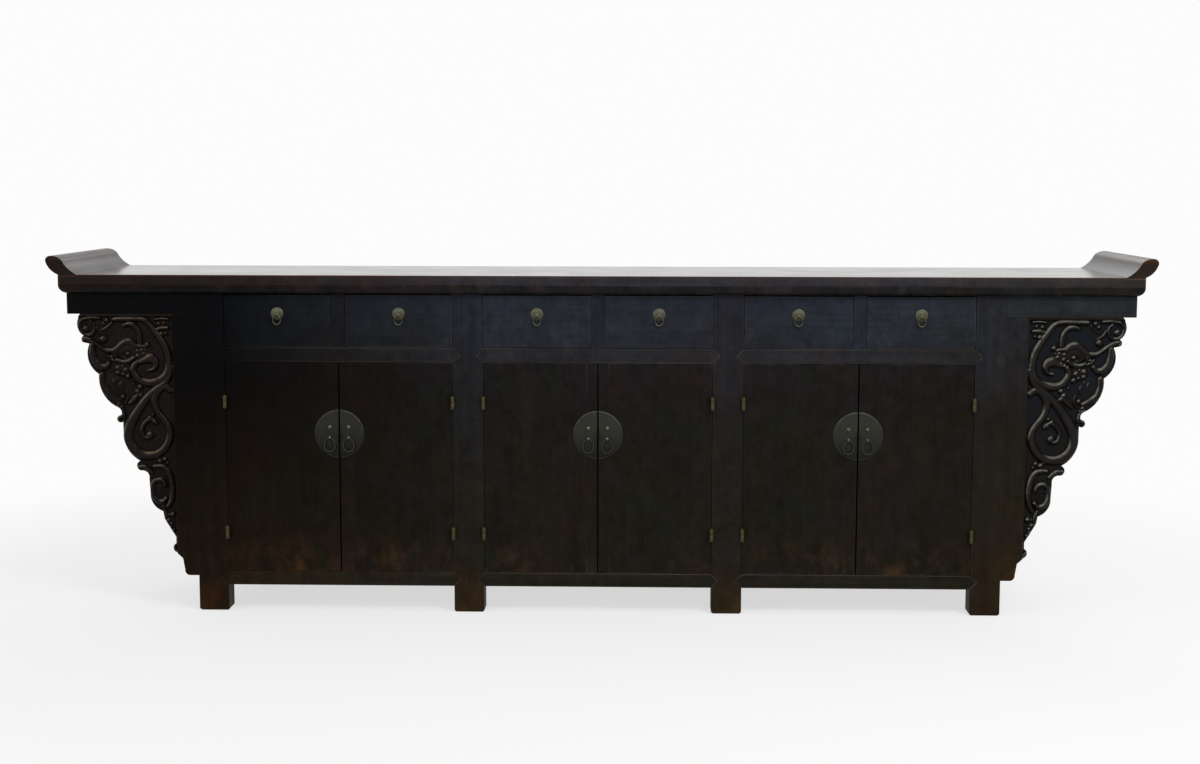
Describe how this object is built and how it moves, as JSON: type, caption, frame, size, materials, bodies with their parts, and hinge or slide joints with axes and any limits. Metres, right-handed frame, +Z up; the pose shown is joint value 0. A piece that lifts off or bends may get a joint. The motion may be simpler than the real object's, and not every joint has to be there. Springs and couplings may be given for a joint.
{
  "type": "chinese altar table",
  "caption": "Long altar table with everted flanges and carved spandrels, drawers over paired cabinet doors, brass hinges, round lock plates and ring pulls.",
  "frame": {"origin": "on the floor, midway along the table and midway from front to back", "axes": "+X along the table to the right seen from the front, +Y from the front to the back, +Z up"},
  "size_m": [2.892, 0.5, 0.9487],
  "materials": {
    "top_wood": "old dark lacquer, worn reddish along the edge",
    "frame_wood": "old dark lacquer, satin",
    "panel_wood": "old dark lacquer over vertical grain",
    "carved_wood": "old dark lacquer, glossy on the raised stems",
    "inner_wood": "unlacquered, darkened by age",
    "hinge_brass": "tarnished",
    "plate_brass": "dark patina",
    "pull_brass": "pale green patina"
  },
  "bodies": {
    "root": {"top_board": "top_wood", "left_flange": "top_wood", "right_flange": "top_wood", "left_spandrel": "carved_wood", "right_spandrel": "carved_wood", "end_friezes": "frame_wood", "front_legs": "frame_wood", "back_legs": "frame_wood", "drawer_rails": "frame_wood", "bottom_rails": "frame_wood", "drawer_dividers": "frame_wood", "back_rails": "inner_wood", "cross_rails": "frame_wood", "side_panels": "panel_wood", "back_panels": "inner_wood", "floor_boards": "inner_wood", "drawer_runners": "inner_wood", "post_hinge_leaves": "hinge_brass"},
    "drawer_1": {"drawer_1_front": "panel_wood", "drawer_1_box": "inner_wood", "drawer_1_pull": "pull_brass"},
    "drawer_1_ring": {"drawer_1_ring": "pull_brass"},
    "door_1": {"door_1_leaf": "panel_wood", "door_1_metalwork": "plate_brass"},
    "door_1_ring": {"door_1_ring": "plate_brass"},
    "drawer_2": {"drawer_2_front": "panel_wood", "drawer_2_box": "inner_wood", "drawer_2_pull": "pull_brass"},
    "drawer_2_ring": {"drawer_2_ring": "pull_brass"},
    "door_2": {"door_2_leaf": "panel_wood", "door_2_metalwork": "plate_brass"},
    "door_2_ring": {"door_2_ring": "plate_brass"},
    "drawer_3": {"drawer_3_front": "panel_wood", "drawer_3_box": "inner_wood", "drawer_3_pull": "pull_brass"},
    "drawer_3_ring": {"drawer_3_ring": "pull_brass"},
    "door_3": {"door_3_leaf": "panel_wood", "door_3_metalwork": "plate_brass"},
    "door_3_ring": {"door_3_ring": "plate_brass"},
    "drawer_4": {"drawer_4_front": "panel_wood", "drawer_4_box": "inner_wood", "drawer_4_pull": "pull_brass"},
    "drawer_4_ring": {"drawer_4_ring": "pull_brass"},
    "door_4": {"door_4_leaf": "panel_wood", "door_4_metalwork": "plate_brass"},
    "door_4_ring": {"door_4_ring": "plate_brass"},
    "drawer_5": {"drawer_5_front": "panel_wood", "drawer_5_box": "inner_wood", "drawer_5_pull": "pull_brass"},
    "drawer_5_ring": {"drawer_5_ring": "pull_brass"},
    "door_5": {"door_5_leaf": "panel_wood", "door_5_metalwork": "plate_brass"},
    "door_5_ring": {"door_5_ring": "plate_brass"},
    "drawer_6": {"drawer_6_front": "panel_wood", "drawer_6_box": "inner_wood", "drawer_6_pull": "pull_brass"},
    "drawer_6_ring": {"drawer_6_ring": "pull_brass"},
    "door_6": {"door_6_leaf": "panel_wood", "door_6_metalwork": "plate_brass"},
    "door_6_ring": {"door_6_ring": "plate_brass"}
  },
  "joints": [
    {"name": "drawer_1_slide", "type": "slide", "parent": "root", "child": "drawer_1", "axis": [0, -1, 0], "range_m": [0, 0.3]},
    {"name": "drawer_1_ring_swing", "type": "hinge", "parent": "drawer_1", "child": "drawer_1_ring", "pos_m": [-0.844, -0.2305, 0.7965], "axis": [-1, 0, 0], "range_deg": [-5, 165]},
    {"name": "door_1_hinge", "type": "hinge", "parent": "root", "child": "door_1", "pos_m": [-0.9855, -0.2308, 0.389], "axis": [0, 0, -1], "range_deg": [0, 165]},
    {"name": "door_1_ring_swing", "type": "hinge", "parent": "door_1", "child": "door_1_ring", "pos_m": [-0.709, -0.2302, 0.47], "axis": [-1, 0, 0], "range_deg": [-4, 150]},
    {"name": "drawer_2_slide", "type": "slide", "parent": "root", "child": "drawer_2", "axis": [0, -1, 0], "range_m": [0, 0.3]},
    {"name": "drawer_2_ring_swing", "type": "hinge", "parent": "drawer_2", "child": "drawer_2_ring", "pos_m": [-0.524, -0.2305, 0.7965], "axis": [-1, 0, 0], "range_deg": [-5, 165]},
    {"name": "door_2_hinge", "type": "hinge", "parent": "root", "child": "door_2", "pos_m": [-0.3825, -0.2308, 0.389], "axis": [0, 0, 1], "range_deg": [0, 90]},
    {"name": "door_2_ring_swing", "type": "hinge", "parent": "door_2", "child": "door_2_ring", "pos_m": [-0.659, -0.2302, 0.47], "axis": [-1, 0, 0], "range_deg": [-4, 150]},
    {"name": "drawer_3_slide", "type": "slide", "parent": "root", "child": "drawer_3", "axis": [0, -1, 0], "range_m": [0, 0.3]},
    {"name": "drawer_3_ring_swing", "type": "hinge", "parent": "drawer_3", "child": "drawer_3_ring", "pos_m": [-0.16, -0.2305, 0.7965], "axis": [-1, 0, 0], "range_deg": [-5, 165]},
    {"name": "door_3_hinge", "type": "hinge", "parent": "root", "child": "door_3", "pos_m": [-0.3015, -0.2308, 0.389], "axis": [0, 0, -1], "range_deg": [0, 90]},
    {"name": "door_3_ring_swing", "type": "hinge", "parent": "door_3", "child": "door_3_ring", "pos_m": [-0.025, -0.2302, 0.47], "axis": [-1, 0, 0], "range_deg": [-4, 150]},
    {"name": "drawer_4_slide", "type": "slide", "parent": "root", "child": "drawer_4", "axis": [0, -1, 0], "range_m": [0, 0.3]},
    {"name": "drawer_4_ring_swing", "type": "hinge", "parent": "drawer_4", "child": "drawer_4_ring", "pos_m": [0.16, -0.2305, 0.7965], "axis": [-1, 0, 0], "range_deg": [-5, 165]},
    {"name": "door_4_hinge", "type": "hinge", "parent": "root", "child": "door_4", "pos_m": [0.3015, -0.2308, 0.389], "axis": [0, 0, 1], "range_deg": [0, 90]},
    {"name": "door_4_ring_swing", "type": "hinge", "parent": "door_4", "child": "door_4_ring", "pos_m": [0.025, -0.2302, 0.47], "axis": [-1, 0, 0], "range_deg": [-4, 150]},
    {"name": "drawer_5_slide", "type": "slide", "parent": "root", "child": "drawer_5", "axis": [0, -1, 0], "range_m": [0, 0.3]},
    {"name": "drawer_5_ring_swing", "type": "hinge", "parent": "drawer_5", "child": "drawer_5_ring", "pos_m": [0.524, -0.2305, 0.7965], "axis": [-1, 0, 0], "range_deg": [-5, 165]},
    {"name": "door_5_hinge", "type": "hinge", "parent": "root", "child": "door_5", "pos_m": [0.3825, -0.2308, 0.389], "axis": [0, 0, -1], "range_deg": [0, 90]},
    {"name": "door_5_ring_swing", "type": "hinge", "parent": "door_5", "child": "door_5_ring", "pos_m": [0.659, -0.2302, 0.47], "axis": [-1, 0, 0], "range_deg": [-4, 150]},
    {"name": "drawer_6_slide", "type": "slide", "parent": "root", "child": "drawer_6", "axis": [0, -1, 0], "range_m": [0, 0.3]},
    {"name": "drawer_6_ring_swing", "type": "hinge", "parent": "drawer_6", "child": "drawer_6_ring", "pos_m": [0.844, -0.2305, 0.7965], "axis": [-1, 0, 0], "range_deg": [-5, 165]},
    {"name": "door_6_hinge", "type": "hinge", "parent": "root", "child": "door_6", "pos_m": [0.9855, -0.2308, 0.389], "axis": [0, 0, 1], "range_deg": [0, 165]},
    {"name": "door_6_ring_swing", "type": "hinge", "parent": "door_6", "child": "door_6_ring", "pos_m": [0.709, -0.2302, 0.47], "axis": [-1, 0, 0], "range_deg": [-4, 150]}
  ]
}
